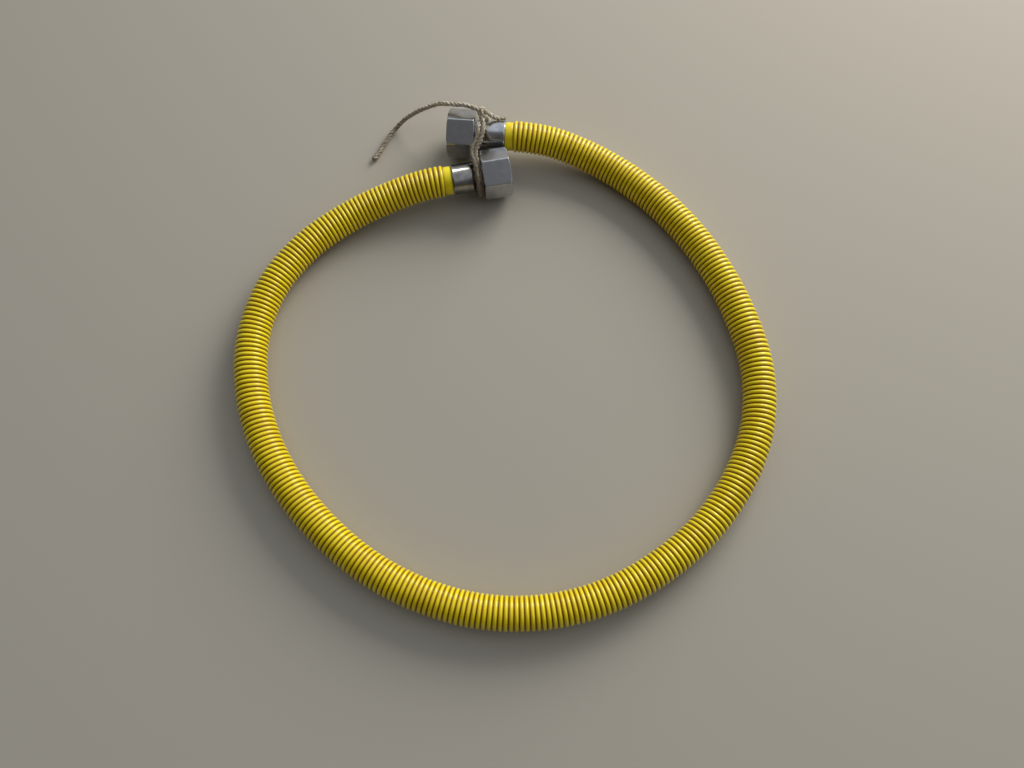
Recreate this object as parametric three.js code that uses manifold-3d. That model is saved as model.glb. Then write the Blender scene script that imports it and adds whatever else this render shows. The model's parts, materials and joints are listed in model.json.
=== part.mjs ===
// Flexible gas hose: a stainless corrugated tube in a yellow jacket, with a loose union nut on a flanged stub
// at each end. It lies in a ring, and jute twine ties its two necks side by side.
// Millimetres, +Z up. The hose rests on z = 0, the ring's centre is near x = 0, y = 0, and +Y points from the
// viewer towards the two fittings.

import * as THREE from 'three';
import { mergeVertices } from 'three/addons/utils/BufferGeometryUtils.js';
import Module from 'manifold-3d';

const wasm = await Module();
wasm.setup();

// Driving dimensions

const RUNNING_GAP = 0.3; // between two pieces that touch or run on each other
const ROUND_FACETS = 48; // facets round a turned piece

const JACKET_WALL = 1.85; // from the tube's clearance to the top of the ribs
const HOSE_SIDES = 12;
const HOSE_STEPS = 24; // one step about every two diameters

const TUBE_DIAMETER = 16.2;
const TUBE_WALL = 0.5;

const NUT_ACROSS_FLATS = 28;
const NUT_LENGTH = 18.5;
const NUT_CHAMFER_DIAMETER = 29.4; // where the turned chamfer leaves the end faces
const NUT_CHAMFER_ANGLE = 30;
const NUT_SHOULDER = 2.6; // the wall that pulls on the flange
const THREAD_BORE = 18.6; // minor diameter of the half-inch pipe thread
const THREAD_DEPTH = 1.16;
const MOUTH_CLEARANCE = 0.24; // of the countersink outside the thread's roots
const MOUTH_DEPTH = 1.2;
const RELIEF_CLEARANCE = 0.34; // of the groove behind the thread, round the flange
const RELIEF_LENGTH = 3.4;
const NUT_FLOOR_GAP = 0.4; // under the lowest corner, so that the nuts turn freely

const FLANGE_DIAMETER = 18;
const FLANGE_THICKNESS = 2.4;
const NECK_DIAMETER = 15.6;
const NECK_LENGTH = 7.8; // from the flange's back face to the weld
const STUB_BORE = 12.4;
const WELD_LENGTH = 0.6;

const GASKET_BORE = 12.4;
const GASKET_THICKNESS = 2;
const GASKET_EDGE = 0.3;

const FERRULE_WALL = 1.4;
const FERRULE_LENGTH = 19.3;
const FERRULE_SETBACK = 0.8; // from the nut's back face to the ferrule
const FERRULE_LAND = 3.2; // the stretch that grips the neck
const FERRULE_LIP_HEIGHT = 0.2;
const FERRULE_LIP_LENGTH = 1;
const FERRULE_ROUND = 0.6;

const TWINE_DIAMETER = 2.8;
const TWINE_TURNS = 2;
const TWINE_SLACK = 0.7; // between the ferrule and the turns, which cross it at a slant
const TWINE_SIDES = 8;
const TAIL_STEPS = 18;
const SHORT_END_STEPS = 6;
const TIE_BEHIND_NUT_A = 4.3; // from the nut's back face to the middle of the turns
const TIE_BEHIND_NUT_B = 3.2;
const TIE_BEND = 12.4; // from the lower neck's axis to where the turns bend towards the upper neck
const KNOT_WIDTH = 7.4;
const KNOT_LENGTH = 6.6;
const KNOT_THICKNESS = 5.2;
const KNOT_ANGLE = 30; // from straight up, towards the far side
const KNOT_SHIFT = -1.9; // from the middle of the turns, along the necks

// The middle of the hose, from the upper fitting round to the lower one: x, y and how much of the rise from the
// floor to the fittings it has made.
const HOSE_ROUTE = [
  [1.9, 152.2, 1],
  [15, 151.2, 1],
  [36.5, 147.5, 0.66],
  [69, 133, 0.11],
  [97, 111.5, 0],
  [120.5, 85, 0],
  [139, 54.5, 0],
  [152, 21.5, 0],
  [159, -13, 0],
  [156, -48.5, 0],
  [142.5, -81, 0],
  [121, -109.5, 0],
  [93.5, -132, 0],
  [62.5, -148.5, 0],
  [28, -157.5, 0],
  [-7.5, -158, 0],
  [-42, -150, 0],
  [-74, -135, 0],
  [-102.5, -113.5, 0],
  [-126.5, -87.5, 0],
  [-145, -57, 0],
  [-156, -23.5, 0],
  [-158, 11.5, 0],
  [-148.5, 45.5, 0],
  [-128, 74.5, 0],
  [-100, 96, 0.11],
  [-67.5, 110.5, 0.66],
  [-47, 116.3, 1],
  [-33.7, 118.6, 1],
];

// The twine's long free end, from the knot over the upper nut and down to the floor.
const TAIL_ROUTE = [
  [-17.6, 163.2, 31.9],
  [-25.5, 166.1, 31.9],
  [-31.1, 167.5, 30.4],
  [-36.2, 169, 29.2],
  [-41.5, 170.8, 27.2],
  [-46.9, 172, 24],
  [-52.7, 172.8, 20],
  [-58.5, 173.1, 16],
  [-63.5, 173, 12],
  [-68.1, 172.4, 8.2],
  [-72, 170.9, 5],
  [-75.9, 167.8, 2.8],
  [-79.6, 163.4, 1.7],
  [-82.8, 157.7, 1.5],
  [-86, 151, 1.5],
  [-88.6, 146.4, 1.5],
  [-91.3, 141.7, 1.5],
];

// The twine's short end, from the knot down on to the upper ferrule.
const SHORT_END_ROUTE = [
  [-10.6, 162.6, 29.2],
  [-8.2, 162.7, 27],
  [-5.6, 162.5, 25.2],
  [-2.8, 162.2, 24],
  [1.2, 161.9, 23.6],
];

// Worked out from the driving dimensions

const radius = (diameter) => diameter / 2;
const runningHole = (diameter) => radius(diameter) + RUNNING_GAP;
const radians = THREE.MathUtils.degToRad;

const tubeOuter = radius(TUBE_DIAMETER);
const tubeInner = tubeOuter - TUBE_WALL;
const jacketInner = runningHole(TUBE_DIAMETER);
const jacketOuter = jacketInner + JACKET_WALL;
const ferruleInner = runningHole(TUBE_DIAMETER);
const ferruleOuter = ferruleInner + FERRULE_WALL;

const threadRoot = radius(THREAD_BORE) + THREAD_DEPTH;
const mouthRadius = threadRoot + MOUTH_CLEARANCE;
const reliefRadius = threadRoot + RELIEF_CLEARANCE;
const gasketOuter = radius(THREAD_BORE) - RUNNING_GAP;

const nutCornerRadius = radius(NUT_ACROSS_FLATS) / Math.cos(Math.PI / 6);
const fittingHeight = nutCornerRadius + NUT_FLOOR_GAP; // of both fittings' axes

// Distances along a fitting, from the nut's mouth towards the hose
const shoulderFront = NUT_LENGTH - NUT_SHOULDER;
const threadEnd = shoulderFront - RELIEF_LENGTH;
const flangeBack = shoulderFront - RUNNING_GAP;
const flangeFront = flangeBack - FLANGE_THICKNESS;
const gasketBack = flangeFront - RUNNING_GAP;
const gasketFront = gasketBack - GASKET_THICKNESS;
const stubEnd = flangeBack + NECK_LENGTH;
const tubeStart = stubEnd + RUNNING_GAP;
const ferruleFront = NUT_LENGTH + FERRULE_SETBACK;
const ferruleLandEnd = ferruleFront + FERRULE_LAND;
const ferruleEnd = ferruleFront + FERRULE_LENGTH;
const jacketStart = ferruleEnd + RUNNING_GAP;

// A solid turned from [along, radius] points about the X axis
function turned(profile) {
  const points = profile.map(([along, r]) => new THREE.Vector2(r, along));
  const first = points[0];
  const last = points[points.length - 1];
  const onAxis = first.x === 0 && last.x === 0;
  if (!onAxis) points.push(first.clone());
  const geometry = new THREE.LatheGeometry(points, ROUND_FACETS);
  geometry.rotateZ(-Math.PI / 2);
  return geometry;
}

function toSolid(geometry) {
  const bare = geometry.clone();
  bare.deleteAttribute('normal');
  bare.deleteAttribute('uv');
  const merged = mergeVertices(bare, 1e-4);
  const vertProperties = new Float32Array(merged.attributes.position.array);
  const triVerts = new Uint32Array(merged.index.array);
  return new wasm.Manifold(new wasm.Mesh({ numProp: 3, vertProperties, triVerts }));
}

function toGeometry(solid) {
  const { vertProperties, triVerts } = solid.getMesh();
  const geometry = new THREE.BufferGeometry();
  geometry.setAttribute('position', new THREE.BufferAttribute(vertProperties, 3));
  geometry.setIndex(new THREE.BufferAttribute(triVerts, 1));
  geometry.computeVertexNormals();
  return geometry;
}

function polygon(circumradius, sides) {
  const corners = [];
  for (let side = 0; side < sides; side += 1) {
    const angle = (side * 2 * Math.PI) / sides;
    corners.push(new THREE.Vector2(circumradius * Math.cos(angle), circumradius * Math.sin(angle)));
  }
  return corners;
}

function hexagonalPrism(cornerRadius, length) {
  const outline = new THREE.Shape(polygon(cornerRadius, 6));
  const prism = new THREE.ExtrudeGeometry(outline, { depth: length, bevelEnabled: false });
  prism.rotateY(Math.PI / 2); // a corner stays straight up
  return prism;
}

// The union nut: a hexagon bar with both ends turned to a chamfer, bored and threaded from the mouth, with a
// relief groove for the flange and a shoulder behind it.
function unionNut() {
  const faceRadius = radius(NUT_CHAMFER_DIAMETER);
  const chamferSlope = Math.tan(radians(NUT_CHAMFER_ANGLE));
  const outerRadius = nutCornerRadius + 1;
  const chamferLength = (outerRadius - faceRadius) * chamferSlope;
  const envelope = turned([
    [0, 0],
    [0, faceRadius],
    [chamferLength, outerRadius],
    [NUT_LENGTH - chamferLength, outerRadius],
    [NUT_LENGTH, faceRadius],
    [NUT_LENGTH, 0],
  ]);
  const past = 1; // the bore's tool runs this far past both faces
  const bore = turned([
    [-past, 0],
    [-past, mouthRadius],
    [0, mouthRadius],
    [MOUTH_DEPTH, radius(THREAD_BORE)],
    [threadEnd, radius(THREAD_BORE)],
    [threadEnd, reliefRadius],
    [shoulderFront, reliefRadius],
    [shoulderFront, runningHole(NECK_DIAMETER)],
    [NUT_LENGTH + past, runningHole(NECK_DIAMETER)],
    [NUT_LENGTH + past, 0],
  ]);
  const bar = toSolid(hexagonalPrism(nutCornerRadius, NUT_LENGTH));
  return toGeometry(bar.intersect(toSolid(envelope)).subtract(toSolid(bore)));
}

// The flanged stub: a flat sealing flange, a neck through the nut's shoulder and a weld collar on the tube.
function flangedStub() {
  const edge = 0.3; // broken edges of the flange
  return turned([
    [flangeFront, radius(STUB_BORE)],
    [stubEnd, radius(STUB_BORE)],
    [stubEnd, tubeOuter],
    [stubEnd - WELD_LENGTH, tubeOuter],
    [stubEnd - WELD_LENGTH, radius(NECK_DIAMETER)],
    [flangeBack, radius(NECK_DIAMETER)],
    [flangeBack, radius(FLANGE_DIAMETER) - edge],
    [flangeBack - edge, radius(FLANGE_DIAMETER)],
    [flangeFront + edge, radius(FLANGE_DIAMETER)],
    [flangeFront, radius(FLANGE_DIAMETER) - edge],
  ].reverse());
}

function gasketRing() {
  return turned([
    [gasketFront, radius(GASKET_BORE)],
    [gasketFront, gasketOuter - GASKET_EDGE],
    [gasketFront + GASKET_EDGE, gasketOuter],
    [gasketBack - GASKET_EDGE, gasketOuter],
    [gasketBack, gasketOuter - GASKET_EDGE],
    [gasketBack, radius(GASKET_BORE)],
  ]);
}

// The sleeve over the weld: it grips the neck at its front, covers the end of the tube and ends in a small
// rolled lip in front of the jacket.
function ferrule() {
  const outer = ferruleOuter;
  const lip = outer + FERRULE_LIP_HEIGHT;
  return turned([
    [ferruleFront, runningHole(NECK_DIAMETER)],
    [ferruleFront, outer - FERRULE_ROUND],
    [ferruleFront + FERRULE_ROUND / 3, outer - FERRULE_ROUND / 3],
    [ferruleFront + FERRULE_ROUND, outer],
    [ferruleEnd - FERRULE_LIP_LENGTH - FERRULE_LIP_HEIGHT, outer],
    [ferruleEnd - FERRULE_LIP_LENGTH, lip],
    [ferruleEnd - FERRULE_LIP_HEIGHT, lip],
    [ferruleEnd, outer],
    [ferruleEnd, ferruleInner],
    [ferruleLandEnd, ferruleInner],
    [ferruleLandEnd, runningHole(NECK_DIAMETER)],
  ]);
}

// A line through given places with a given direction at each, for a tube that has to follow them exactly
class SteppedLine extends THREE.Curve {
  constructor(places, directions) {
    super();
    this.places = places;
    this.directions = directions;
    this.last = places.length - 1;
  }

  getPoint(share, target = new THREE.Vector3()) {
    const along = share * this.last;
    const before = Math.min(Math.floor(along + 1e-9), this.last - 1);
    return target.lerpVectors(this.places[before], this.places[before + 1], along - before);
  }

  getPointAt(share, target) {
    return this.getPoint(share, target);
  }

  getTangentAt(share, target = new THREE.Vector3()) {
    return target.copy(this.directions[Math.round(share * this.last)]);
  }
}

function pipeAlong(line, steps, outerRadius, innerRadius, sides) {
  const section = new THREE.Shape(polygon(outerRadius, sides));
  if (innerRadius > 0) section.holes.push(new THREE.Path(polygon(innerRadius, sides)));
  return new THREE.ExtrudeGeometry(section, { steps, extrudePath: line });
}

// Materials

const yellowJacket = { color: 0xd8be1c, roughness: 0.4, metalness: 0 };
const nickelSteel = { color: 0x8f9399, roughness: 0.35, metalness: 1 };
const polishedSteel = { color: 0xb4b6ba, roughness: 0.2, metalness: 1 };
const stainless = { color: 0xa9abad, roughness: 0.3, metalness: 1 };
const blackRubber = { color: 0x1d1d1d, roughness: 0.8, metalness: 0 };
const juteTwine = { color: 0xa59a80, roughness: 0.95, metalness: 0 };

function piece(name, geometry, finish) {
  const mesh = new THREE.Mesh(geometry, new THREE.MeshStandardMaterial(finish));
  mesh.name = name;
  return mesh;
}

const hose = new THREE.Group();

// The jacket and the tube follow one centre line, with the same steps, so they nest without touching.
const routePoints = HOSE_ROUTE.map(([x, y, rise]) => {
  const z = THREE.MathUtils.lerp(jacketOuter, fittingHeight, rise);
  return new THREE.Vector3(x, y, z);
});
const centreLine = new THREE.CatmullRomCurve3(routePoints, false, 'centripetal');
const places = centreLine.getSpacedPoints(HOSE_STEPS);
const directions = places.map((_, step) => centreLine.getTangentAt(step / HOSE_STEPS));
const jacketLine = new SteppedLine(places, directions);

const startOfHose = places[0];
const endOfHose = places[HOSE_STEPS];
const intoHoseAtStart = directions[0];
const intoHoseAtEnd = directions[HOSE_STEPS].clone().negate();

const tubeReach = jacketStart - tubeStart; // the bare tube inside each ferrule
const tubePlaces = [
  startOfHose.clone().addScaledVector(intoHoseAtStart, -tubeReach),
  ...places,
  endOfHose.clone().addScaledVector(intoHoseAtEnd, -tubeReach),
];
const tubeDirections = [directions[0], ...directions, directions[HOSE_STEPS]];
const tubeLine = new SteppedLine(tubePlaces, tubeDirections);

const jacket = pipeAlong(jacketLine, HOSE_STEPS, jacketOuter, jacketInner, HOSE_SIDES);
const tube = pipeAlong(tubeLine, HOSE_STEPS + 2, tubeOuter, tubeInner, HOSE_SIDES);
hose.add(piece('hose_jacket', jacket, yellowJacket));
hose.add(piece('corrugated_tube', tube, stainless));

// A fitting's own X axis runs from the nut's mouth into the hose, and its own Z axis points up.
function fitting(letter, hoseEnd, intoHose) {
  const group = new THREE.Group();
  group.position.copy(hoseEnd).addScaledVector(intoHose, -jacketStart);
  group.rotation.z = Math.atan2(intoHose.y, intoHose.x);
  group.add(piece(`union_nut_${letter}`, unionNut(), nickelSteel));
  group.add(piece(`gasket_${letter}`, gasketRing(), blackRubber));
  group.add(piece(`nipple_${letter}`, flangedStub(), stainless));
  group.add(piece(`ferrule_${letter}`, ferrule(), polishedSteel));
  return group;
}

const fittingA = fitting('a', startOfHose, intoHoseAtStart);
const fittingB = fitting('b', endOfHose, intoHoseAtEnd);
hose.add(fittingA, fittingB);

// The twine's turns: one loop round both ferrules, as wide as its turns lie side by side. Its lower half is square
// to the lower neck. Past the corners of that nut it bends, and its upper half reaches the upper neck.
const up = new THREE.Vector3(0, 0, 1);
const tieA = fittingA.position.clone().addScaledVector(intoHoseAtStart, NUT_LENGTH + TIE_BEHIND_NUT_A);
const tieB = fittingB.position.clone().addScaledVector(intoHoseAtEnd, NUT_LENGTH + TIE_BEHIND_NUT_B);
const acrossLowerNeck = intoHoseAtEnd.clone().cross(up);
const bend = tieB.clone().addScaledVector(acrossLowerNeck, TIE_BEND);
const acrossUpperHalf = tieA.clone().sub(bend);
const upperReach = acrossUpperHalf.length();
acrossUpperHalf.normalize();
const bendAngle = acrossUpperHalf.angleTo(acrossLowerNeck);

const wrapInner = ferruleOuter + TWINE_SLACK;
const wrapOuter = wrapInner + TWINE_DIAMETER;
const wrapWidth = TWINE_TURNS * TWINE_DIAMETER;
const wrapBevel = TWINE_DIAMETER / 4;

function racetrack(shape, reach, turnRadius) {
  shape.absarc(reach, 0, turnRadius, -Math.PI / 2, Math.PI / 2);
  shape.absarc(-reach, 0, turnRadius, Math.PI / 2, (3 * Math.PI) / 2);
  shape.closePath();
  return shape;
}

function flatLoop(reach) {
  const outline = racetrack(new THREE.Shape(), reach, wrapOuter - wrapBevel);
  outline.holes.push(racetrack(new THREE.Path(), reach, wrapInner + wrapBevel));
  const loop = new THREE.ExtrudeGeometry(outline, {
    depth: wrapWidth - 2 * wrapBevel,
    bevelThickness: wrapBevel,
    bevelSize: wrapBevel,
    bevelSegments: 2,
    curveSegments: 12,
  });
  loop.translate(0, 0, -wrapWidth / 2 + wrapBevel);
  return loop;
}

function twineWrap() {
  const towardsUpper = [Math.cos(bendAngle / 2), 0, -Math.sin(bendAngle / 2)];
  const towardsLower = towardsUpper.map((value) => -value);
  const joinOverlap = 0.01;
  const upperHalf = toSolid(flatLoop(upperReach)).trimByPlane(towardsUpper, -joinOverlap);
  const lowerHalf = toSolid(flatLoop(TIE_BEND).rotateY(bendAngle)).trimByPlane(towardsLower, 0);
  return toGeometry(upperHalf.add(lowerHalf));
}

// In the tie's own frame X runs across from the bend to the upper neck, Y is up and Z along the necks.
const tie = new THREE.Group();
const alongNecks = acrossUpperHalf.clone().cross(up);
tie.applyMatrix4(new THREE.Matrix4().makeBasis(acrossUpperHalf, up, alongNecks));
tie.position.copy(bend);
tie.add(piece('twine_wrap', twineWrap(), juteTwine));

const knot = piece('twine_knot', new THREE.SphereGeometry(0.5, 12, 8), juteTwine);
const knotDistance = wrapOuter + RUNNING_GAP + radius(KNOT_THICKNESS);
const knotAngle = radians(KNOT_ANGLE);
const knotAcross = upperReach + knotDistance * Math.sin(knotAngle);
knot.scale.set(KNOT_WIDTH, KNOT_THICKNESS, KNOT_LENGTH);
knot.rotation.z = -knotAngle;
knot.position.set(knotAcross, knotDistance * Math.cos(knotAngle), KNOT_SHIFT);
tie.add(knot);
hose.add(tie);

function twineAlong(route, steps) {
  const points = route.map((place) => new THREE.Vector3(...place));
  const line = new THREE.CatmullRomCurve3(points, false, 'centripetal');
  return pipeAlong(line, steps, radius(TWINE_DIAMETER), 0, TWINE_SIDES);
}

hose.add(piece('twine_tail', twineAlong(TAIL_ROUTE, TAIL_STEPS), juteTwine));
hose.add(piece('twine_short_end', twineAlong(SHORT_END_ROUTE, SHORT_END_STEPS), juteTwine));

export default hose;
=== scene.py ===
# %% [markdown]
# # A flexible gas hose, tied up with twine
#
# A half-inch gas hose is a thin stainless tube, corrugated so that it bends, in a ribbed yellow jacket. Each
# end has a flanged stub, and a loose union nut draws that flange on to a gasket. This hose is bent into a ring,
# and jute twine ties its two necks side by side.
#
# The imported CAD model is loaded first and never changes. All that follows is made in its frame, in metres.
# %% Load the frame
import bisect
import json
import math
import random

import bmesh
import bpy
import numpy as np
from mathutils import Matrix, Vector


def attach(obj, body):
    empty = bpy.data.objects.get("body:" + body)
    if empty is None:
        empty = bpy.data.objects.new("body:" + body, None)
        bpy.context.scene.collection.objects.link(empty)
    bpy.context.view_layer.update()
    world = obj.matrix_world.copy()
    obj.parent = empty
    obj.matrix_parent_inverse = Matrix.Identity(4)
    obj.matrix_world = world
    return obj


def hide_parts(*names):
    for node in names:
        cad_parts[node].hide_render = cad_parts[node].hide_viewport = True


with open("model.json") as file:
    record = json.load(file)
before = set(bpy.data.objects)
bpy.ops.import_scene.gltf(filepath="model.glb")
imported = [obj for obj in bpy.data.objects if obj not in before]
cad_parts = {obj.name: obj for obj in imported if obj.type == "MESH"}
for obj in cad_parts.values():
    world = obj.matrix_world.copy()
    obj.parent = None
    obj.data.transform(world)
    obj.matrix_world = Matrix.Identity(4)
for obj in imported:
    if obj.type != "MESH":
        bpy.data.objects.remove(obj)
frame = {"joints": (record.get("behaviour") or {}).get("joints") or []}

MM = 0.001
UP = Vector((0, 0, 1))
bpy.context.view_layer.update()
collection = bpy.context.scene.collection

# %% [markdown]
# ## The camera
#
# The perspective of the photograph gives the camera's tilt, and the hose's known length gives its height. It
# looks down at the ring from half a metre up, leaning forward by 17 degrees.
# %% Camera


def add_object(name, data):
    """Makes an object of the data and puts it in the scene."""
    made = bpy.data.objects.new(name, data)
    collection.objects.link(made)
    return made


camera = add_object("camera", bpy.data.cameras.new("camera"))
camera.location = (0.01026, -0.16534, 0.480)
camera.rotation_euler = (math.radians(17.01), math.radians(0.503), 0)
camera.data.sensor_width = 36
camera.data.lens = 27.77
bpy.context.scene.camera = camera
print("camera at", tuple(round(value, 3) for value in camera.location))

# %% [markdown]
# ## A smooth line through a route
#
# Hose and twine both follow a short list of route points. A centripetal Catmull-Rom curve runs through every
# point without loops or overshoot, and it is the curve that the CAD model uses, so both lie in the same place.
# The line is kept as many close points with their distances, so a piece can ask for the place at any distance.
# %% Smooth lines
FINE_STEPS = 40  # points between two points of a route


def through(route):
    """Close points along the centripetal Catmull-Rom curve through a route."""
    before_first = 2 * route[0] - route[1]
    after_last = 2 * route[-1] - route[-2]
    ends = [before_first, *route, after_last]
    places = []
    for p0, p1, p2, p3 in zip(ends, ends[1:], ends[2:], ends[3:]):
        t1 = (p1 - p0).length ** 0.5
        t2 = t1 + (p2 - p1).length ** 0.5
        t3 = t2 + (p3 - p2).length ** 0.5
        for step in range(FINE_STEPS):
            t = t1 + (t2 - t1) * step / FINE_STEPS
            a1 = p0.lerp(p1, t / t1)
            a2 = p1.lerp(p2, (t - t1) / (t2 - t1))
            a3 = p2.lerp(p3, (t - t2) / (t3 - t2))
            b1 = a1.lerp(a2, t / t2)
            b2 = a2.lerp(a3, (t - t1) / (t3 - t1))
            places.append(b1.lerp(b2, (t - t1) / (t2 - t1)))
    return [*places, route[-1].copy()]


class Line:
    """A line that gives the place and the direction at any distance along it."""

    def __init__(self, places):
        self.places = places
        self.distances = [0.0]
        for before, after in zip(places, places[1:]):
            self.distances.append(self.distances[-1] + (after - before).length)
        self.length = self.distances[-1]

    def place(self, distance):
        distance = min(max(distance, 0.0), self.length)
        after = min(max(bisect.bisect_left(self.distances, distance), 1), len(self.places) - 1)
        start, end = self.distances[after - 1], self.distances[after]
        return self.places[after - 1].lerp(self.places[after], (distance - start) / (end - start))

    def direction(self, distance, reach=MM):
        ahead = self.place(distance + reach)
        return (ahead - self.place(distance - reach)).normalized()


right_angle = Line(through([Vector((0, 0, 0)), Vector((0.1, 0, 0)), Vector((0.1, 0.1, 0))]))
print(f"round a right angle with legs of 100 mm the line is {right_angle.length / MM:.0f} mm long")

# %% [markdown]
# ## The hose's route
#
# The route repeats the CAD model's points: x, y, and how much of the rise from the floor to the fittings the
# hose has made there. The nuts are thicker than the hose, so they lift its ends off the floor.
# %% Route of the hose
JACKET_RADIUS = 10.25 * MM
FITTING_HEIGHT = 16.5658 * MM

HOSE_ROUTE = [
    (0.0019, 0.1522, 1), (0.015, 0.1512, 1), (0.0365, 0.1475, 0.66), (0.069, 0.133, 0.11),
    (0.097, 0.1115, 0), (0.1205, 0.085, 0), (0.139, 0.0545, 0), (0.152, 0.0215, 0),
    (0.159, -0.013, 0), (0.156, -0.0485, 0), (0.1425, -0.081, 0), (0.121, -0.1095, 0),
    (0.0935, -0.132, 0), (0.0625, -0.1485, 0), (0.028, -0.1575, 0), (-0.0075, -0.158, 0),
    (-0.042, -0.15, 0), (-0.074, -0.135, 0), (-0.1025, -0.1135, 0), (-0.1265, -0.0875, 0),
    (-0.145, -0.057, 0), (-0.156, -0.0235, 0), (-0.158, 0.0115, 0), (-0.1485, 0.0455, 0),
    (-0.128, 0.0745, 0), (-0.1, 0.096, 0.11), (-0.0675, 0.1105, 0.66), (-0.047, 0.1163, 1),
    (-0.0337, 0.1186, 1),
]

hose_points = [
    Vector((x, y, JACKET_RADIUS + (FITTING_HEIGHT - JACKET_RADIUS) * rise)) for x, y, rise in HOSE_ROUTE
]
hose_line = Line(through(hose_points))
print(f"jacket {hose_line.length / MM:.1f} mm long")

# %% [markdown]
# ## Colours and shader nodes
#
# Colours are written as sRGB hex values, as a colour picker shows them, and one function turns them to the
# linear values that the renderer wants. A second small function adds a shader node with its settings, links and
# stops, a third starts a material with its shader's constants, and a fourth links the finished values to it.
# %% Colours
def colour(code):
    """Linear RGBA of an sRGB hex value such as 0xD8C21A."""
    parts = [(code >> shift & 255) / 255 for shift in (16, 8, 0)]
    return (*[p / 12.92 if p <= 0.04045 else ((p + 0.055) / 1.055) ** 2.4 for p in parts], 1)


print("mid grey 0x808080 is", round(colour(0x808080)[0], 3), "in linear light")


# %% Nodes and materials
def node(material, kind, inputs=None, stops=(), **settings):
    """Adds a shader node. An input is given by name or number, as a value or as another node's output.

    The stops of a colour ramp are pairs of a position and a hex colour."""
    made = material.node_tree.nodes.new("ShaderNode" + kind)
    for setting, value in settings.items():
        setattr(made, setting, value)
    for socket, value in (inputs or {}).items():
        if isinstance(value, bpy.types.NodeSocket):
            material.node_tree.links.new(value, made.inputs[socket])
        else:
            made.inputs[socket].default_value = value
    points = made.color_ramp.elements if stops else ()
    while len(points) < len(stops):
        points.new(0.5)
    for point, (position, code) in zip(points, stops):
        point.position = position
        point.color = colour(code)
    return made


def start_material(name, **constants):
    """A material and its Principled shader, with constants such as Metallic or IOR set on the sockets."""
    material = bpy.data.materials.new(name)
    material.use_nodes = True
    shader = material.node_tree.nodes["Principled BSDF"]
    for socket, value in constants.items():
        shader.inputs[socket.replace("_", " ")].default_value = value
    return material, shader


def connect(material, shader, **sources):
    """Links outputs to the shader's sockets of those names."""
    for socket, source in sources.items():
        material.node_tree.links.new(source, shader.inputs[socket.replace("_", " ")])
    print(material.name, "has", len(material.node_tree.nodes), "nodes")


print(len(bpy.data.materials), "materials so far")

# %% [markdown]
# ## Finish: yellow PVC jacket
#
# The jacket is soft PVC, extruded in a clear yellow and shrunk over the corrugated tube, with a soft gloss on
# its crests. A depth value that the jacket's mesh carries paints shade into the grooves and the lower flanks of
# the ribs, turning them a brownish olive where they lie in their own shadow. Patches of handling dirt are 20 mm
# wide. The finest pattern, a slight orange peel, is drawn at 0.6 mm so that it shows in a close view.
# %% Yellow PVC
yellow_pvc, shader = start_material("yellow_pvc_jacket", IOR=1.53)
place = node(yellow_pvc, "TexCoord").outputs["Object"]
depth = node(yellow_pvc, "Attribute", attribute_name="groove_depth").outputs["Fac"]
patches = node(yellow_pvc, "TexNoise", {"Vector": place, "Scale": 50, "Detail": 3, "Roughness": 0.6})
clean = node(
    yellow_pvc,
    "ValToRGB",
    {0: patches.outputs["Fac"]},
    stops=[(0.32, 0xE4CA04), (0.5, 0xF0DA06), (0.68, 0xF4E210)],
).outputs[0]
# Painted shade: the grooves and the lower flanks of the ribs turn brownish olive with depth.
groove_shade = node(
    yellow_pvc,
    "ValToRGB",
    {0: depth},
    stops=[(0.08, 0xFFFFFF), (0.5, 0xC4A03C), (1.0, 0x5A400C)],
).outputs[0]
body = node(
    yellow_pvc,
    "Mix",
    {"Factor": 1.0, 6: clean, 7: groove_shade},
    data_type="RGBA",
    blend_type="MULTIPLY",
).outputs[2]
peel = node(yellow_pvc, "TexNoise", {"Vector": place, "Scale": 1600, "Detail": 2})
gloss = node(
    yellow_pvc,
    "MapRange",
    {"Value": patches.outputs["Fac"], "From Min": 0.3, "From Max": 0.7, "To Min": 0.34, "To Max": 0.2},
)
bump = node(yellow_pvc, "Bump", {"Height": peel.outputs["Fac"], "Strength": 0.12, "Distance": 0.05 * MM})
connect(yellow_pvc, shader, Base_Color=body, Roughness=gloss.outputs[0], Normal=bump.outputs[0])

# %% [markdown]
# ## The ribbed jacket
#
# The jacket is one long tube whose radius swells and shrinks every 3 mm. A Blender curve does that well: a
# round bevel sweeps along the line, and each point of the line has its own radius. Seven points make one rib,
# with a broad round crest and a narrow groove. Turned to a mesh, it gets a plain inner wall, bridged to the
# outer one at both ends, so that the jacket is a closed body with a real bore. A short smooth cuff ends it at
# each side.
# %% Sweep along a line
JACKET_SIDES = 40


def curve_to_mesh(curve):
    """The mesh of a curve, which is then removed."""
    holder = add_object(curve.name, curve)
    bpy.context.view_layer.update()
    mesh = bpy.data.meshes.new_from_object(holder.evaluated_get(bpy.context.evaluated_depsgraph_get()))
    bpy.data.objects.remove(holder)
    bpy.data.curves.remove(curve)
    return mesh


def sweep(name, line, stations, sides):
    """A mesh swept along the line through (distance, radius) stations, one ring of points for each."""
    curve = bpy.data.curves.new(name, "CURVE")
    curve.dimensions = "3D"
    curve.twist_mode = "MINIMUM"
    curve.bevel_depth = MM
    curve.bevel_resolution = (sides - 4) // 2
    spline = curve.splines.new("POLY")
    spline.points.add(len(stations) - 1)
    for point, (distance, radius) in zip(spline.points, stations):
        point.co = (*line.place(distance), 1)
        point.radius = radius / MM
    return curve_to_mesh(curve)


print(f"the jacket's points are {2 * math.pi * JACKET_RADIUS / JACKET_SIDES / MM:.1f} mm apart round a rib")


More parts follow.
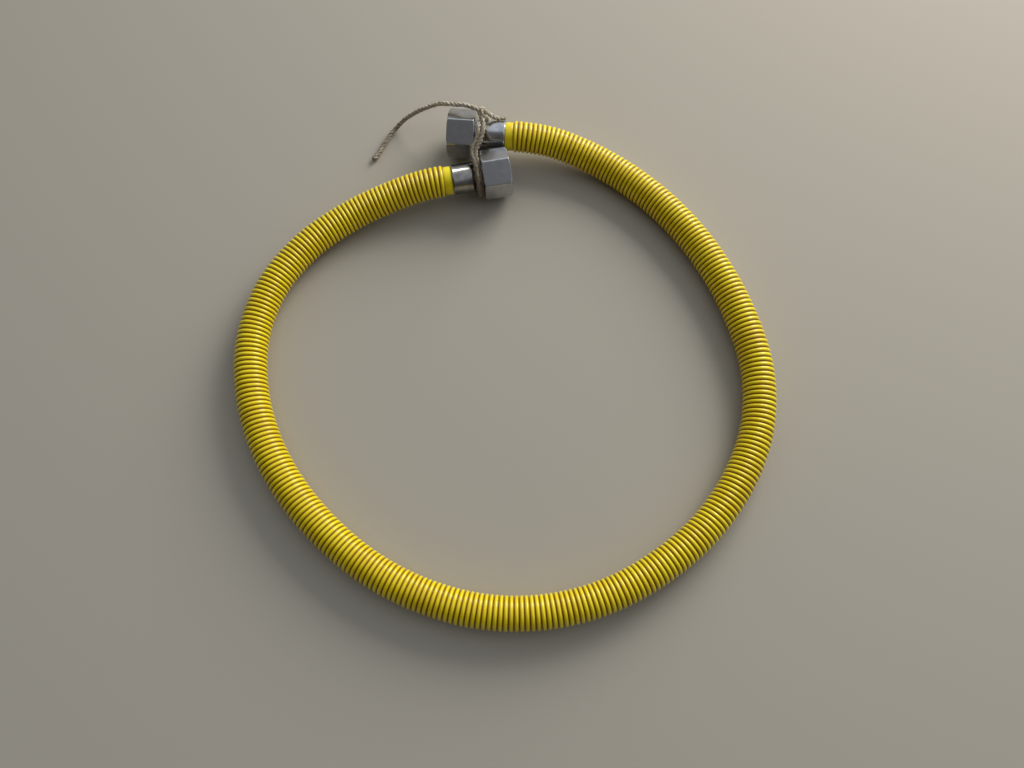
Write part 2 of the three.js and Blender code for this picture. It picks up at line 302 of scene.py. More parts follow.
# %% From a mesh to a piece
def add_values(mesh, name, values):
    """Stores one number for each of the mesh's points, for a material to read."""
    attribute = mesh.attributes.new(name, "FLOAT", "POINT")
    padded = np.zeros(len(mesh.vertices), np.float32)
    padded[: len(values)] = values
    attribute.data.foreach_set("value", padded)


def add_piece(name, mesh, material, body_name, sharp=None):
    """Makes an object of the mesh, shades it smooth, and lets it ride on a CAD body."""
    mesh.materials.clear()
    mesh.materials.append(material)
    mesh.polygons.foreach_set("use_smooth", [True] * len(mesh.polygons))
    if sharp is not None:
        mesh.set_sharp_from_angle(angle=math.radians(sharp))
    made = add_object(name, mesh)
    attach(made, body_name)
    mesh.calc_loop_triangles()
    print(f"{name}: {len(mesh.loop_triangles)} triangles")
    return made


# %% A tube with two walls
BORE_STEPS = 150
JACKET_BORE_RADIUS = 8.4 * MM


def bore(line, radius):
    """Stations of a plain inner wall."""
    return [(line.length * step / BORE_STEPS, radius) for step in range(BORE_STEPS + 1)]


def hollow(name, line, outer, inner, sides):
    """An outer and an inner sweep, joined at both ends to one closed wall."""
    outer_mesh = sweep(name, line, outer, sides)
    inner_mesh = sweep(name, line, inner, sides)
    shape = bmesh.new()
    shape.from_mesh(outer_mesh)
    shape.from_mesh(inner_mesh)
    rims = [edge for edge in shape.edges if edge.is_boundary]
    middle = (line.places[0] + line.places[-1]) / 2
    across = line.places[0] - middle
    for side in (1, -1):
        rim = [edge for edge in rims if side * (edge.verts[0].co - middle).dot(across) > 0]
        bmesh.ops.bridge_loops(shape, edges=rim)
    bmesh.ops.recalc_face_normals(shape, faces=shape.faces)
    shape.to_mesh(outer_mesh)
    shape.free()
    bpy.data.meshes.remove(inner_mesh)
    return outer_mesh


bore_stations = bore(hose_line, JACKET_BORE_RADIUS)
print(f"the bore is {2 * JACKET_BORE_RADIUS / MM:.1f} mm wide, with {len(bore_stations)} rings")

# %% The cuffs
CUFF_LENGTH = 5.4 * MM
CUFF_RADIUS = 9.15 * MM


def cuff(from_end):
    """Stations of a smooth cuff, from its end face inwards."""
    stations = [
        (0.0, JACKET_BORE_RADIUS + 0.2 * MM),
        (0.02 * MM, CUFF_RADIUS - 0.25 * MM),
        (0.12 * MM, CUFF_RADIUS - 0.07 * MM),
        (0.35 * MM, CUFF_RADIUS),
        (1.8 * MM, CUFF_RADIUS + 0.08 * MM),
        (3.6 * MM, CUFF_RADIUS + 0.02 * MM),
        (CUFF_LENGTH - 0.3 * MM, CUFF_RADIUS - 0.02 * MM),
    ]
    if from_end:
        return [(hose_line.length - distance, radius) for distance, radius in reversed(stations)]
    return stations


print(f"a cuff is {CUFF_LENGTH / MM:.1f} mm long and has {len(cuff(True))} rings")

# %% The ribs
RIB_COUNT = 304
RIB_DEPTH = 1.3 * MM
RIB_SHAPE = [  # share of the pitch, share of the depth below the crest
    (0.0, 1.0), (0.09, 0.64), (0.2, 0.28), (0.38, 0.04), (0.62, 0.04), (0.8, 0.28), (0.91, 0.64),
]
RIB_LOWER = 0.07 * MM  # how much lower than the highest ribs one may be
RIB_SHIFT = 0.02  # how far to either side a crest may lean, as a share of the pitch

shuffle = random.Random(31)
rib_pitch = (hose_line.length - 2 * CUFF_LENGTH) / RIB_COUNT
jacket_stations = cuff(False)
groove_depths = [0.0] * len(jacket_stations)
for rib in range(RIB_COUNT):
    start = CUFF_LENGTH + rib * rib_pitch
    lower = shuffle.uniform(0, RIB_LOWER)
    shift = shuffle.uniform(-RIB_SHIFT, RIB_SHIFT)
    for share, drop in RIB_SHAPE:
        moved = share + shift * math.sin(math.pi * share)
        jacket_stations.append((start + moved * rib_pitch, JACKET_RADIUS - lower - drop * RIB_DEPTH))
        groove_depths.append(drop)
jacket_stations.append((CUFF_LENGTH + RIB_COUNT * rib_pitch, JACKET_RADIUS - RIB_DEPTH))
groove_depths.append(1.0)
jacket_stations += cuff(True)
groove_depths += [0.0] * len(cuff(True))
print(f"{RIB_COUNT} ribs, {rib_pitch / MM:.2f} mm apart")

# %% The jacket
jacket_mesh = hollow("jacket", hose_line, jacket_stations, bore_stations, JACKET_SIDES)
add_values(jacket_mesh, "groove_depth", np.repeat(groove_depths, JACKET_SIDES))
jacket = add_piece("jacket", jacket_mesh, yellow_pvc, "root")
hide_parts("hose_jacket")

# %% [markdown]
# ## The fittings' places
#
# The nuts' hinges in the CAD record say where each fitting is: its axis, and a point in the middle of its
# nut. Each fitting is made at the origin, with its X axis running from the nut's mouth into the hose, and its
# mesh is then put in place by one matrix.
# %% Fitting matrices
NUT_LENGTH = 18.5 * MM


def fitting_matrix(joint):
    """From a fitting's own frame, X into the hose, Z up and its origin in the nut's mouth, to the model's."""
    into_hose = Vector(joint["axis"]).normalized()
    mouth = Vector(joint["pos_m"]) - into_hose * NUT_LENGTH / 2
    matrix = Matrix((into_hose, UP.cross(into_hose), UP)).transposed().to_4x4()
    matrix.translation = mouth
    return matrix


fittings = {joint["child"][-1]: fitting_matrix(joint) for joint in frame["joints"]}
for letter, matrix in fittings.items():
    print("fitting", letter, "mouth at, mm:", [round(value / MM, 2) for value in matrix.translation])

# %% [markdown]
# ## Finish: formed stainless tube
#
# The gas-tight tube is thin stainless strip, welded and rolled into corrugations. It is hardly seen, only as a
# glint inside a stub, so a plain satin steel with faint rolling marks round it is enough.
# %% Formed stainless steel
stainless, shader = start_material("formed_stainless_steel", Metallic=1.0)
place = node(stainless, "TexCoord").outputs["Object"]
grain = node(stainless, "TexNoise", {"Vector": place, "Scale": 400, "Detail": 4})
tone = node(
    stainless,
    "ValToRGB",
    {0: grain.outputs["Fac"]},
    stops=[(0.35, 0x9C9D9E), (0.65, 0xB9BABB)],
).outputs[0]
soft = node(stainless, "MapRange", {"Value": grain.outputs["Fac"], "To Min": 0.24, "To Max": 0.4})
bump = node(stainless, "Bump", {"Height": grain.outputs["Fac"], "Strength": 0.15, "Distance": 0.03 * MM})
connect(stainless, shader, Base_Color=tone, Roughness=soft.outputs[0], Normal=bump.outputs[0])

# %% [markdown]
# ## The corrugated tube
#
# Under each rib of the jacket lies one fold of the tube. The same sweep makes it, with smaller radii and fewer
# points, because only its ends can ever be seen. It runs past both ends of the jacket to the stubs inside the
# ferrules.
# %% Corrugated tube
TUBE_REACH = 15.2 * MM  # of bare tube past each end of the jacket
TUBE_CREST = 8.1 * MM
TUBE_FOLD = 0.9 * MM
TUBE_WALL = 0.4 * MM
TUBE_SIDES = 20
FOLD_SHAPE = [(0.0, 1.0), (0.2, 0.5), (0.4, 0.0), (0.7, 0.0), (0.9, 0.6)]

first_place = hose_line.places[0] - hose_line.direction(0) * TUBE_REACH
last_place = hose_line.places[-1] + hose_line.direction(hose_line.length) * TUBE_REACH
tube_line = Line([first_place, *hose_line.places, last_place])
fold_count = round(tube_line.length / rib_pitch)
fold_pitch = tube_line.length / fold_count
tube_stations = [
    (fold_pitch * (fold + share), TUBE_CREST - drop * TUBE_FOLD)
    for fold in range(fold_count)
    for share, drop in FOLD_SHAPE
]
tube_stations.append((tube_line.length, TUBE_CREST - TUBE_FOLD))
tube_bore = bore(tube_line, TUBE_CREST - TUBE_FOLD - TUBE_WALL)
tube_mesh = hollow("inner_tube", tube_line, tube_stations, tube_bore, TUBE_SIDES)
inner_tube = add_piece("inner_tube", tube_mesh, stainless, "root")
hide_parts("corrugated_tube")
print(fold_count, "folds")

# %% [markdown]
# ## Turned pieces
#
# Stub, gasket and ferrule are all turned. They could be stacked from cylinders and rings, but one closed outline
# spun about the fitting's axis holds the whole section, bore and all, and stays watertight. A bevel then breaks
# the sharp rings that the spin leaves, as a lathe hand does with a file.
# %% Turn an outline
TURNED_STEPS = 96


def spin_outline(shape, corners, steps):
    """Closes the outline of those points and spins it once round the X axis."""
    sides = [shape.edges.new(pair) for pair in zip(corners, corners[1:] + corners[:1])]
    bmesh.ops.spin(
        shape,
        geom=corners + sides,
        cent=(0, 0, 0),
        axis=(1, 0, 0),
        angle=2 * math.pi,
        steps=steps,
        use_merge=True,
    )


def turn(outline, bevel, sharper_than=25):
    """Spins (along, radius) points in mm round the X axis and bevels the sharp rings."""
    shape = bmesh.new()
    corners = [shape.verts.new((along * MM, 0, radius * MM)) for along, radius in outline]
    spin_outline(shape, corners, TURNED_STEPS)
    bmesh.ops.recalc_face_normals(shape, faces=shape.faces)
    rings = [edge for edge in shape.edges if edge.calc_face_angle(0) > math.radians(sharper_than)]
    bmesh.ops.bevel(
        shape,
        geom=rings,
        offset=bevel * MM,
        segments=2,
        profile=0.5,
        affect="EDGES",
        material=-1,
        clamp_overlap=True,
    )
    return shape


print(f"a turned piece has a facet every {360 / TURNED_STEPS:.2f} degrees")


# %% Put a turned piece in its place
def mesh_of(name, shape):
    """A mesh of a bmesh, which is then freed."""
    mesh = bpy.data.meshes.new(name)
    shape.to_mesh(mesh)
    shape.free()
    return mesh


def place_turned(name, shape, letter, material, body_name="root"):
    """Puts a turned shape in its place on a fitting and makes it a piece."""
    mesh = mesh_of(name, shape)
    mesh.transform(fittings[letter])
    return add_piece(name, mesh, material, body_name, sharp=35)


print("turned pieces go to fittings", " and ".join(fittings))

# %% [markdown]
# ## Finish: nitrile rubber
#
# The flat gasket is punched from black nitrile rubber, dull and slightly grey on its faces from handling.
# %% Nitrile rubber
nitrile, shader = start_material("nitrile_rubber", IOR=1.52)
place = node(nitrile, "TexCoord").outputs["Object"]
bloom = node(nitrile, "TexNoise", {"Vector": place, "Scale": 700, "Detail": 3})
tone = node(
    nitrile,
    "ValToRGB",
    {0: bloom.outputs["Fac"]},
    stops=[(0.35, 0x161616), (0.7, 0x262524)],
).outputs[0]
soft = node(nitrile, "MapRange", {"Value": bloom.outputs["Fac"], "To Min": 0.6, "To Max": 0.85})
bump = node(nitrile, "Bump", {"Height": bloom.outputs["Fac"], "Strength": 0.2, "Distance": 0.05 * MM})
connect(nitrile, shader, Base_Color=tone, Roughness=soft.outputs[0], Normal=bump.outputs[0])

# %% Gaskets and stubs
GASKET = [(10.9, 6.2), (10.9, 9), (12.9, 9), (12.9, 6.2)]
STUB = [
    (13.2, 6.2), (13.2, 9), (15.6, 9), (15.6, 7.8), (22.8, 7.8), (22.8, 8.1), (23.4, 8.1), (23.4, 6.2),
]

for letter in fittings:
    gasket = place_turned(f"gasket_ring_{letter}", turn(GASKET, 0.2), letter, nitrile)
    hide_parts(f"gasket_{letter}")
    stub = place_turned(f"flanged_stub_{letter}", turn(STUB, 0.15), letter, stainless)
    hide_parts(f"nipple_{letter}")

# %% [markdown]
# ## Finish: polished stainless sleeve
#
# The ferrules are drawn stainless sleeves, pressed on and polished, so they mirror the room in long bands. Use
# leaves fine scratches round the sleeve and a thin grey film. The scratches run round the axis: the fitting's
# own frame isn't known to Object coordinates, so the mesh carries the distance along the axis as a value. The
# lower sleeve gets painted shade, for the dark shadowed floor and parts that it mirrors; a second value on the
# mesh says where.
# %% Polished stainless steel
polished, shader = start_material("polished_stainless_sleeve", Metallic=1.0)
place = node(polished, "TexCoord").outputs["Object"]
along = node(polished, "Attribute", attribute_name="along_axis").outputs["Fac"]
film = node(polished, "TexNoise", {"Vector": place, "Scale": 160, "Detail": 5, "Roughness": 0.65})
rings = node(
    polished, "TexNoise", {"W": along, "Scale": 9000, "Detail": 2}, noise_dimensions="1D"
)
lower_sleeve_shade = node(polished, "Attribute", attribute_name="sleeve_shade").outputs["Fac"]
bright = node(
    polished,
    "ValToRGB",
    {0: film.outputs["Fac"]},
    stops=[(0.35, 0xBCBEC2), (0.6, 0xE4E6E9)],
).outputs[0]
# Painted shade: the lower sleeve is greyed where it would mirror shadow.
sleeve_shade_tint = node(polished, "ValToRGB", {0: lower_sleeve_shade}, stops=[(0.0, 0xFFFFFF), (1.0, 0xB4AEA6)]).outputs[0]
tone = node(
    polished, "Mix", {"Factor": 1.0, 6: bright, 7: sleeve_shade_tint}, data_type="RGBA", blend_type="MULTIPLY"
).outputs[2]
soft = node(
    polished,
    "MapRange",
    {"Value": film.outputs["Fac"], "From Min": 0.35, "From Max": 0.7, "To Min": 0.2, "To Max": 0.12},
)
bump = node(polished, "Bump", {"Height": rings.outputs["Fac"], "Strength": 0.1, "Distance": 0.01 * MM})
connect(polished, shader, Base_Color=tone, Roughness=soft.outputs[0], Normal=bump.outputs[0])

# %% Ferrules
FERRULE = [
    (19.3, 8.1), (19.3, 9.3), (19.45, 9.65), (19.8, 9.8), (37.3, 9.8), (37.55, 9.97), (37.7, 10),
    (38.35, 10), (38.5, 9.95), (38.6, 9.8), (38.6, 8.4), (22.5, 8.4), (22.5, 8.1),
]

for letter in fittings:
    shape = turn(FERRULE, 0.08, sharper_than=40)
    distances = [vertex.co.x for vertex in shape.verts]
    ferrule = place_turned(f"ferrule_sleeve_{letter}", shape, letter, polished)
    add_values(ferrule.data, "along_axis", distances)
    # Painted shade on the lower sleeve, b.
    add_values(ferrule.data, "sleeve_shade", [float(letter == "b")] * len(distances))
    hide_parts(f"ferrule_{letter}")

# %% [markdown]
# ## Finish: satin nickel plate
#
# The nuts are steel with a satin nickel plate. Spanners and other metal rub it off its edges, which turn bright
# and smooth. The mesh carries a value that is 1 on an edge and fades over a third of a millimetre. The flats
# keep a faint grain from milling, about 0.4 mm apart, and thumb marks.
# %% Satin nickel plate
nickel, shader = start_material("satin_nickel_plate", Metallic=1.0)
place = node(nickel, "TexCoord").outputs["Object"]
edge = node(nickel, "Attribute", attribute_name="worn_edge").outputs["Fac"]
marks = node(nickel, "TexNoise", {"Vector": place, "Scale": 220, "Detail": 6, "Roughness": 0.7})
rubbed = node(nickel, "Math", {0: edge, 1: marks.outputs["Fac"]}, operation="MULTIPLY")
worn = node(nickel, "ValToRGB", {0: rubbed.outputs[0]}, stops=[(0.15, 0x000000), (0.45, 0xFFFFFF)]).outputs[0]
plate = node(
    nickel,
    "ValToRGB",
    {0: marks.outputs["Fac"]},
    stops=[(0.3, 0xAAA9AA), (0.55, 0xBCBCBD), (0.75, 0xC8C8CA)],
).outputs[0]
tone = node(nickel, "Mix", {"Factor": worn, 6: plate, 7: colour(0xDCDDDD)}, data_type="RGBA").outputs[2]
dull = node(
    nickel,
    "MapRange",
    {"Value": marks.outputs["Fac"], "From Min": 0.3, "From Max": 0.7, "To Min": 0.28, "To Max": 0.2},
)
soft = node(nickel, "Mix", {"Factor": worn, 2: dull.outputs[0], 3: 0.16}, data_type="FLOAT")
streaks = node(nickel, "Mapping", {"Vector": place, "Scale": (300, 2500, 2500)})
grain = node(nickel, "TexNoise", {"Vector": streaks.outputs[0], "Scale": 1, "Detail": 2})
bump = node(nickel, "Bump", {"Height": grain.outputs["Fac"], "Strength": 0.16, "Distance": 0.03 * MM})
connect(nickel, shader, Base_Color=tone, Roughness=soft.outputs[0], Normal=bump.outputs[0])

# %% [markdown]
# ## The union nuts
#
# A union nut is cut from hexagon bar. Its ends are turned to a cone, which leaves the curved chamfer line on
# every flat, and its inside is bored, threaded and relieved behind the thread. It is spun like the turned
# pieces, and its points are then moved: the outside ones out to the hexagon or the cone, whichever is nearer,
# and those of the bore in and out along a helix. The columns of points are drawn together at the corners, and
# the rows at the chamfer line, so that both stay crisp with few faces. It is made this way rather than by
# cutting one solid with another, because every face stays a clean four-sided one.
# %% Outside of a nut, in mm
NUT_STEPS = 120
NUT_MM = NUT_LENGTH / MM
HALF_ACROSS_FLATS = 14
CHAMFER_RADIUS = 14.7
CHAMFER_SLOPE = math.tan(math.radians(30))
EDGE_BREAK = 0.18
SECTOR = math.radians(60)
CORNER_POWER = 130  # the higher, the sharper the corner between two flats
CHAMFER_POWER = 110
CROWDING = 0.12  # how strongly the columns of points are drawn together at the corners
WORN_CORNER, WORN_CHAMFER, WORN_END = 0.35, 0.3, 0.25  # how far the wear reaches from each kind of edge


def column_angle(step):
    """Angle of a column of points, drawn together at the corners, which are at odd multiples of 30 degrees."""
    sector, share = divmod(step / (NUT_STEPS / 6), 1)
    return (sector + share - CROWDING * math.sin(2 * math.pi * share)) * SECTOR + SECTOR / 2


def hexagon_radius(angle):
    """Radius of a hexagon with slightly rounded corners."""
    total = sum(max(0.0, math.cos(angle - flat * SECTOR)) ** CORNER_POWER for flat in range(6))
    return HALF_ACROSS_FLATS * total ** (-1 / CORNER_POWER)


def softer(a, b):
    """The smaller of two radii, rounded where they cross."""
    return (a**-CHAMFER_POWER + b**-CHAMFER_POWER) ** (-1 / CHAMFER_POWER)


def outside(angle, row, from_rear):
    """Along, radius and wear of a point on the outside of the nut."""
    share, past = row
    hexagon = hexagon_radius(angle)
    chamfer = max(0.0, hexagon - CHAMFER_RADIUS) * CHAMFER_SLOPE
    along = share * chamfer + past
    radius = softer(CHAMFER_RADIUS + along / CHAMFER_SLOPE, hexagon)
    if along < EDGE_BREAK:
        radius -= EDGE_BREAK * (1 - along / EDGE_BREAK) ** 2
    corner = abs(angle % SECTOR - SECTOR / 2) * hexagon
    nearest = min(corner / WORN_CORNER, abs(along - chamfer) / WORN_CHAMFER, along / WORN_END)
    wear = math.exp(-nearest * nearest)
    return (NUT_MM - along if from_rear else along), radius, wear


print(f"{2 * hexagon_radius(0):.1f} mm across flats, {2 * hexagon_radius(SECTOR / 2):.1f} mm across corners")

# %% Thread of a nut, in mm
THREAD_PITCH = 1.814  # 14 threads to the inch
THREAD_CREST = 9.3
THREAD_DEPTH = 1.16
FLANK_SLOPE = 1.35  # over 1, so that crests and roots have flats
THREAD_END = 12.5
MOUTH_RADIUS = 10.7
MOUTH_DEPTH = 1.2


def thread_radius(angle, along):
    """Radius of the threaded bore: a right-hand helix that runs out in the countersunk mouth."""
    turn_share = along / THREAD_PITCH - angle / (2 * math.pi)
    wave = 0.5 - 0.5 * math.cos(2 * math.pi * turn_share)
    flank = min(1.0, max(0.0, (wave - 0.5) * FLANK_SLOPE + 0.5))
    mouth = MOUTH_RADIUS - along / MOUTH_DEPTH * (MOUTH_RADIUS - THREAD_CREST)
    return max(THREAD_CREST + THREAD_DEPTH * flank, mouth)


print(f"{THREAD_END / THREAD_PITCH:.1f} turns of thread")

# %% Rows of points on a nut
THREAD_ROWS = 71
FACE_RADIUS = 12.6  # of a ring of points in the middle of each end face
OUTSIDE_ROWS = [  # share of the chamfer's length at that column, and mm past it
    (0, 0), (0, 0.05), (0, 0.18), (0.4, 0.21), (0.62, 0.24), (0.74, 0.27), (0.86, 0.31), (1, 0.5), (1, 1.2),
    (1, 2.6), (1, 5.0),
]
INSIDE_ROWS = [  # mm from the mouth, radius: the rear face, the shoulder hole and the relief behind the thread
    (NUT_MM, FACE_RADIUS), (NUT_MM, 8.3), (NUT_MM - 0.06, 8.14), (NUT_MM - 0.2, 8.1), (16.1, 8.1),
    (15.95, 8.15), (15.9, 8.3), (15.9, 10.6), (15.75, 10.75), (15.6, 10.8), (12.6, 10.8),
]
MOUTH_ROWS = [(0.0, MOUTH_RADIUS + 0.1), (0.0, FACE_RADIUS)]

plan = [("outside", (row, False)) for row in OUTSIDE_ROWS]
plan += [("outside", (row, True)) for row in reversed(OUTSIDE_ROWS)]
plan += [("plain", row) for row in INSIDE_ROWS]
plan += [("thread", THREAD_END * (1 - row / THREAD_ROWS)) for row in range(THREAD_ROWS)]
plan += [("plain", row) for row in MOUTH_ROWS]
print(len(plan), "rows of", NUT_STEPS, "points")


# %% Spin the nut and move its points
def union_nut():
    """A bmesh of the nut in its own frame, and a wear value for each of its points."""
    shape = bmesh.new()
    row_of = shape.verts.layers.int.new("row")
    corners = []
    for index in range(len(plan)):
        corner = shape.verts.new((index * MM, 0, 10 * MM))
        corner[row_of] = index
        corners.append(corner)
    spin_outline(shape, corners, NUT_STEPS)
    wear_values = []
    for vertex in shape.verts:
        step = round(math.atan2(vertex.co.z, vertex.co.y) / (2 * math.pi) * NUT_STEPS) % NUT_STEPS
        angle = column_angle(step)
        kind, detail = plan[vertex[row_of]]
        wear = 0.0
        if kind == "outside":
            along, radius, wear = outside(angle, *detail)
        elif kind == "thread":
            along, radius = detail, thread_radius(angle, detail)
        else:
            along, radius = detail
        wear_values.append(wear)
        vertex.co = Vector((along, radius * math.cos(angle), radius * math.sin(angle))) * MM
    bmesh.ops.recalc_face_normals(shape, faces=shape.faces)
    return shape, wear_values


for letter in fittings:
    shape, wear_values = union_nut()
    nut = place_turned(f"hexagon_nut_{letter}", shape, letter, nickel, f"nut_{letter}")
    add_values(nut.data, "worn_edge", wear_values)
    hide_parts(f"union_nut_{letter}")

[hose_line.place(distance) for distance, _ in jacket_stations]
print("hose declared:", len(jacket_stations), "rings")

# %% [markdown]
# ## The twine's way round the necks
#
# One piece of twine makes the tie: it goes twice round both necks, and its two ends cross over each other in a
# small square knot above the upper neck. The long end arches over the nut to the floor, and the short one lies
# on the sleeve. Each half of the tie has its own frame, with its origin on the neck's axis: X across from the
# lower neck to the upper one, Y up and Z along the necks. The lower half is square to its neck. Past the corners
# of that nut the turns bend, and they cross the upper neck at a slant, so there the loop is slightly oval.
# %% Frames of the tie
TWINE_RADIUS = 1.55
FERRULE_RADIUS = 9.8
TIE_A = 22.8  # mm from the nut's mouth to the middle of the turns
TIE_B = 21.7
TIE_BEND = 12.4  # mm from the lower neck's axis to the bend


def neck_axis(letter):
    """Direction of a neck, from its nut into the hose."""
    return fittings[letter].to_3x3() @ Vector((1, 0, 0))


def tie_frame(origin, across):
    """Frame of one half of the tie: X across the necks, Y up and Z along them."""
    matrix = Matrix((across, UP, across.cross(UP))).transposed().to_4x4()
    matrix.translation = origin
    return matrix


neck_a = fittings["a"] @ Vector((TIE_A * MM, 0, 0))
neck_b = fittings["b"] @ Vector((TIE_B * MM, 0, 0))
lower_across = neck_axis("b").cross(UP)
bend = neck_b + lower_across * TIE_BEND * MM
tie = {"a": tie_frame(neck_a, (neck_a - bend).normalized()), "b": tie_frame(neck_b, lower_across)}
print(f"necks {(neck_a - neck_b).length / MM:.1f} mm apart")

# %% One turn round both necks, in mm
HUG = 0.08  # between the sleeve and the twine
NUT_CLEARANCE = 0.9  # how far the turns bow away from the corners of the upper nut
AROUND = FERRULE_RADIUS + TWINE_RADIUS + HUG


def tie_along(letter):
    """The direction in which the turns lie side by side on a neck."""
    return tie[letter].to_3x3() @ Vector((0, 0, 1))


def oval(letter):
    """How much longer the sleeve's section is across the tie than its diameter."""
    return 1 / abs(neck_axis(letter).dot(tie_along(letter)))


def round_neck(letter, degrees, offset, lift=0.0):
    """A point of a turn, at an angle from straight up towards the far side of that neck."""
    angle = math.radians(degrees)
    radius = AROUND + lift
    x = (radius - FERRULE_RADIUS + FERRULE_RADIUS * oval(letter)) * math.sin(angle)
    return tie[letter] @ (Vector((x, radius * math.cos(angle), offset)) * MM)


def one_turn(offset, lower_offset, lift):
    """Points of one turn: over the top to the lower neck, round it, back underneath and up again."""
    along = tie_along("a")
    over_bend = bend + UP * AROUND * MM + along * offset * MM
    under_bend = bend - UP * AROUND * MM + along * offset * MM
    round_lower = [round_neck("b", degrees, lower_offset, lift) for degrees in (0, -35, -70, -105, -140, -180)]
    round_upper = [round_neck("a", degrees, offset) for degrees in (180, 145, 110, 75)]
    over_upper = round_neck("a", 0, offset)
    past_nut = (over_upper + over_bend) / 2 + along * NUT_CLEARANCE * MM
    under_nut = (round_upper[0] + under_bend) / 2 + along * NUT_CLEARANCE * MM
    return [over_upper, past_nut, over_bend, *round_lower, under_bend, under_nut, *round_upper]


print(f"the sleeves' sections are {oval('a'):.3f} and {oval('b'):.3f} times as wide as high")

# %% The knot, in mm
KNOT_ANGLE = math.radians(30)
KNOT_DISTANCE = 16.2
KNOT_SHIFT = -1.9

KNOT_FROM_TAIL = [  # from the tail through the knot to the start of the first turn
    (-0.6, 1.2, -1.5), (1.0, 1.9, -0.2), (2.4, 1.0, 1.2), (2.6, -0.9, 0.6), (1.2, -1.7, -0.8),
    (-0.6, -0.9, -1.5), (-2.4, -0.5, -0.6),
]
KNOT_TO_SHORT_END = [  # from the end of the last turn through the knot to the short end
    (2.3, -1.6, 1.4), (0.9, -0.4, 1.6), (-0.8, -1.6, 0.9), (-2.6, -0.4, 0.9), (-2.2, 1.4, 0.2), (-0.4, 2.0, 0.9),
]

radial = Vector((math.sin(KNOT_ANGLE), math.cos(KNOT_ANGLE), 0))
tangent = Vector((math.cos(KNOT_ANGLE), -math.sin(KNOT_ANGLE), 0))
knot_centre = radial * KNOT_DISTANCE + Vector((0, 0, KNOT_SHIFT))


def in_knot(far, out, right):
    """A point of the knot, from its centre towards the far side, outwards and to the right."""
    return tie["a"] @ ((knot_centre + tangent * far + radial * out + Vector((0, 0, right))) * MM)


print("knot at, mm:", [round(value / MM, 1) for value in in_knot(0, 0, 0)])

# %% Route of the whole twine
RIDE = 1.3  # mm that the second turn stands off the lower neck, where it rides on the first
TURN_OFFSET = 1.4  # mm from the middle of the turns to each of them
LOWER_OFFSET = 0.8  # the same for the second turn on the lower neck
LAST_LIFT = 0.4  # mm that the second turn stands off the upper neck where it enters the knot

TAIL_ROUTE = [
    (-0.0176, 0.1632, 0.0319), (-0.0255, 0.1661, 0.0319), (-0.0311, 0.1675, 0.0304), (-0.0362, 0.169, 0.0292),
    (-0.0415, 0.1708, 0.0272), (-0.0469, 0.172, 0.024), (-0.0527, 0.1728, 0.02), (-0.0585, 0.1731, 0.016),
    (-0.0635, 0.173, 0.012), (-0.0681, 0.1724, 0.0082), (-0.072, 0.1709, 0.005), (-0.0759, 0.1678, 0.0028),
    (-0.0796, 0.1634, 0.0017), (-0.0828, 0.1577, 0.0017), (-0.086, 0.151, 0.0017), (-0.0886, 0.1464, 0.0018),
    (-0.0899, 0.1442, 0.0021),
]
SHORT_END_ROUTE = [
    (-0.0106, 0.1624, 0.0288), (-0.0082, 0.1622, 0.0264), (-0.0056, 0.1618, 0.0246), (-0.0028, 0.1614, 0.0236),
    (0.0012, 0.1611, 0.0232),
]

tail_points = [Vector(place) for place in reversed(TAIL_ROUTE)]
knot_in = [in_knot(*place) for place in KNOT_FROM_TAIL]
turns = one_turn(TURN_OFFSET, TURN_OFFSET, 0.0) + [round_neck("a", 35, 0.0)]
turns += one_turn(-TURN_OFFSET, -LOWER_OFFSET, RIDE)
turns.append(round_neck("a", 45, -TURN_OFFSET, LAST_LIFT))
knot_out = [in_knot(*place) for place in KNOT_TO_SHORT_END]
short_end = [Vector(place) for place in SHORT_END_ROUTE]
twine_line = Line(through(tail_points + knot_in + turns + knot_out + short_end))

turns_from = len(tail_points) + len(knot_in)
tail_end = twine_line.distances[(len(tail_points) - 1) * FINE_STEPS]
turns_start = twine_line.distances[turns_from * FINE_STEPS]
turns_end = twine_line.distances[(turns_from + len(turns) - 1) * FINE_STEPS]
print(f"twine {twine_line.length / MM:.0f} mm long, tail {tail_end / MM:.0f} mm")

# %% [markdown]
# ## Finish: jute
#
# Jute twine is spun from bast fibres: pale straw, quite dull, with a little sheen along the fibres. It is
# painted darker between the plies, as shade in the creases, from a depth value on the mesh. The plies' mesh also
# carries straightened coordinates, along and across each ply, so the fibres are drawn as long thin streaks that
# follow the ply and slant round it. They are about 0.2 mm wide. Another value on the mesh paints shade on the
# turns between the nuts, where they lie in the nuts' shadow, and on the free end.
# %% Jute
jute, shader = start_material("jute_twine", IOR=1.5, Roughness=0.82, Sheen_Weight=0.25, Sheen_Roughness=0.4)
straight = node(jute, "Attribute", attribute_name="along_ply").outputs["Vector"]
stretch = node(jute, "Mapping", {"Vector": straight, "Scale": (350, 5200, 5200)})
fibres = node(jute, "TexNoise", {"Vector": stretch.outputs[0], "Scale": 1, "Detail": 4})
shade = node(jute, "Attribute", attribute_name="ply_depth").outputs["Fac"]
twine_shade = node(jute, "Attribute", attribute_name="painted_twine_shade").outputs["Fac"]
streak = node(
    jute,
    "ValToRGB",
    {0: fibres.outputs["Fac"]},
    stops=[(0.32, 0x62563F), (0.5, 0xB6A98F), (0.62, 0xF6F0E2)],
).outputs[0]
# Painted shade: darker deep between the plies, where the creases lie in shade.
crease_shade = node(jute, "ValToRGB", {0: shade}, stops=[(0.0, 0x6E5C42), (0.55, 0xE6DFD0), (1.0, 0xFFFFFF)]).outputs[0]
